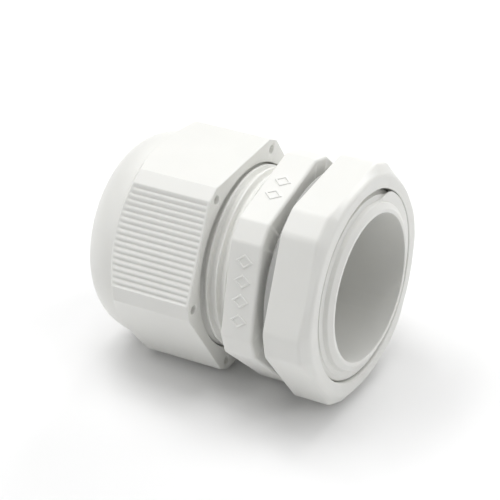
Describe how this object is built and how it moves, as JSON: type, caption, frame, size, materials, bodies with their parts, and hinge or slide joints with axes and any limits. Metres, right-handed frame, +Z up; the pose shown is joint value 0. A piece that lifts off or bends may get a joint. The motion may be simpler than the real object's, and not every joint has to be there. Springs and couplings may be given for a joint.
{
  "type": "cable gland",
  "caption": "Hexagonal nylon cable gland with a domed clamping nut, flanged threaded body, split clamping fingers, rubber sealing insert, flat gasket and locknut.",
  "frame": {"origin": "middle of the bounding box's footprint, on the level that the locknut's lowest edge touches", "axes": "+X along the gland's axis towards the entry thread, +Z up, +Y to the left of someone looking along +X"},
  "size_m": [0.0426, 0.0382, 0.0359],
  "materials": {
    "nylon": "satin moulded nylon, light grey",
    "insert_rubber": "matte",
    "gasket_rubber": "matte"
  },
  "bodies": {
    "gland_body": {"gland_body": "nylon"},
    "sealing_insert": {"sealing_insert": "insert_rubber"},
    "dome_nut": {"dome_nut": "nylon"},
    "flat_gasket": {"flat_gasket": "gasket_rubber"},
    "locknut": {"locknut": "nylon"},
    "clamping_finger_01": {"clamping_finger_01": "nylon"},
    "clamping_finger_02": {"clamping_finger_02": "nylon"},
    "clamping_finger_03": {"clamping_finger_03": "nylon"},
    "clamping_finger_04": {"clamping_finger_04": "nylon"},
    "clamping_finger_05": {"clamping_finger_05": "nylon"},
    "clamping_finger_06": {"clamping_finger_06": "nylon"},
    "clamping_finger_07": {"clamping_finger_07": "nylon"},
    "clamping_finger_08": {"clamping_finger_08": "nylon"},
    "clamping_finger_09": {"clamping_finger_09": "nylon"},
    "clamping_finger_10": {"clamping_finger_10": "nylon"},
    "clamping_finger_11": {"clamping_finger_11": "nylon"},
    "clamping_finger_12": {"clamping_finger_12": "nylon"}
  },
  "joints": [
    {"name": "seal_slide", "type": "slide", "parent": "gland_body", "child": "sealing_insert", "axis": [1, 0, 0], "range_m": [-0.005, 0.0045]},
    {"name": "cap_turn", "type": "hinge", "parent": "sealing_insert", "child": "dome_nut", "pos_m": [0, 0, 0.01795], "axis": [1, 0, 0], "range_deg": [-1134, 1020]},
    {"name": "gasket_slide", "type": "slide", "parent": "gland_body", "child": "flat_gasket", "axis": [1, 0, 0], "range_m": [-0.0008, 0.00635]},
    {"name": "nut_turn", "type": "hinge", "parent": "flat_gasket", "child": "locknut", "pos_m": [0, 0, 0.01795], "axis": [1, 0, 0], "range_deg": [-180, 1440]},
    {"name": "finger_flex_01", "type": "hinge", "parent": "gland_body", "child": "clamping_finger_01", "pos_m": [-0.007, 0, 0.0049], "axis": [0, 1, 0], "range_deg": [-3.16, 2.85]},
    {"name": "finger_flex_02", "type": "hinge", "parent": "gland_body", "child": "clamping_finger_02", "pos_m": [-0.007, 0.00653, 0.00664], "axis": [0, 0.866, 0.5], "range_deg": [-3.16, 2.85]},
    {"name": "finger_flex_03", "type": "hinge", "parent": "gland_body", "child": "clamping_finger_03", "pos_m": [-0.007, 0.0113, 0.01142], "axis": [0, 0.5, 0.866], "range_deg": [-3.16, 2.85]},
    {"name": "finger_flex_04", "type": "hinge", "parent": "gland_body", "child": "clamping_finger_04", "pos_m": [-0.007, 0.01305, 0.01795], "axis": [0, 0, 1], "range_deg": [-3.16, 2.85]},
    {"name": "finger_flex_05", "type": "hinge", "parent": "gland_body", "child": "clamping_finger_05", "pos_m": [-0.007, 0.0113, 0.02447], "axis": [0, -0.5, 0.866], "range_deg": [-3.16, 2.85]},
    {"name": "finger_flex_06", "type": "hinge", "parent": "gland_body", "child": "clamping_finger_06", "pos_m": [-0.007, 0.00653, 0.02925], "axis": [0, -0.866, 0.5], "range_deg": [-3.16, 2.85]},
    {"name": "finger_flex_07", "type": "hinge", "parent": "gland_body", "child": "clamping_finger_07", "pos_m": [-0.007, 0, 0.031], "axis": [0, -1, 0], "range_deg": [-3.16, 2.85]},
    {"name": "finger_flex_08", "type": "hinge", "parent": "gland_body", "child": "clamping_finger_08", "pos_m": [-0.007, -0.00653, 0.02925], "axis": [0, -0.866, -0.5], "range_deg": [-3.16, 2.85]},
    {"name": "finger_flex_09", "type": "hinge", "parent": "gland_body", "child": "clamping_finger_09", "pos_m": [-0.007, -0.0113, 0.02447], "axis": [0, -0.5, -0.866], "range_deg": [-3.16, 2.85]},
    {"name": "finger_flex_10", "type": "hinge", "parent": "gland_body", "child": "clamping_finger_10", "pos_m": [-0.007, -0.01305, 0.01795], "axis": [0, 0, -1], "range_deg": [-3.16, 2.85]},
    {"name": "finger_flex_11", "type": "hinge", "parent": "gland_body", "child": "clamping_finger_11", "pos_m": [-0.007, -0.0113, 0.01142], "axis": [0, 0.5, -0.866], "range_deg": [-3.16, 2.85]},
    {"name": "finger_flex_12", "type": "hinge", "parent": "gland_body", "child": "clamping_finger_12", "pos_m": [-0.007, -0.00653, 0.00664], "axis": [0, 0.866, -0.5], "range_deg": [-3.16, 2.85]}
  ],
  "couplings": [
    {"joint": "seal_slide", "follows": "cap_turn", "m_per_rad": 0.00025266},
    {"joint": "gasket_slide", "follows": "nut_turn", "m_per_rad": 0.00025266},
    {"joint": "finger_flex_01", "follows": "cap_turn", "ratio": 0.0027851},
    {"joint": "finger_flex_02", "follows": "cap_turn", "ratio": 0.0027851},
    {"joint": "finger_flex_03", "follows": "cap_turn", "ratio": 0.0027851},
    {"joint": "finger_flex_04", "follows": "cap_turn", "ratio": 0.0027851},
    {"joint": "finger_flex_05", "follows": "cap_turn", "ratio": 0.0027851},
    {"joint": "finger_flex_06", "follows": "cap_turn", "ratio": 0.0027851},
    {"joint": "finger_flex_07", "follows": "cap_turn", "ratio": 0.0027851},
    {"joint": "finger_flex_08", "follows": "cap_turn", "ratio": 0.0027851},
    {"joint": "finger_flex_09", "follows": "cap_turn", "ratio": 0.0027851},
    {"joint": "finger_flex_10", "follows": "cap_turn", "ratio": 0.0027851},
    {"joint": "finger_flex_11", "follows": "cap_turn", "ratio": 0.0027851},
    {"joint": "finger_flex_12", "follows": "cap_turn", "ratio": 0.0027851}
  ]
}
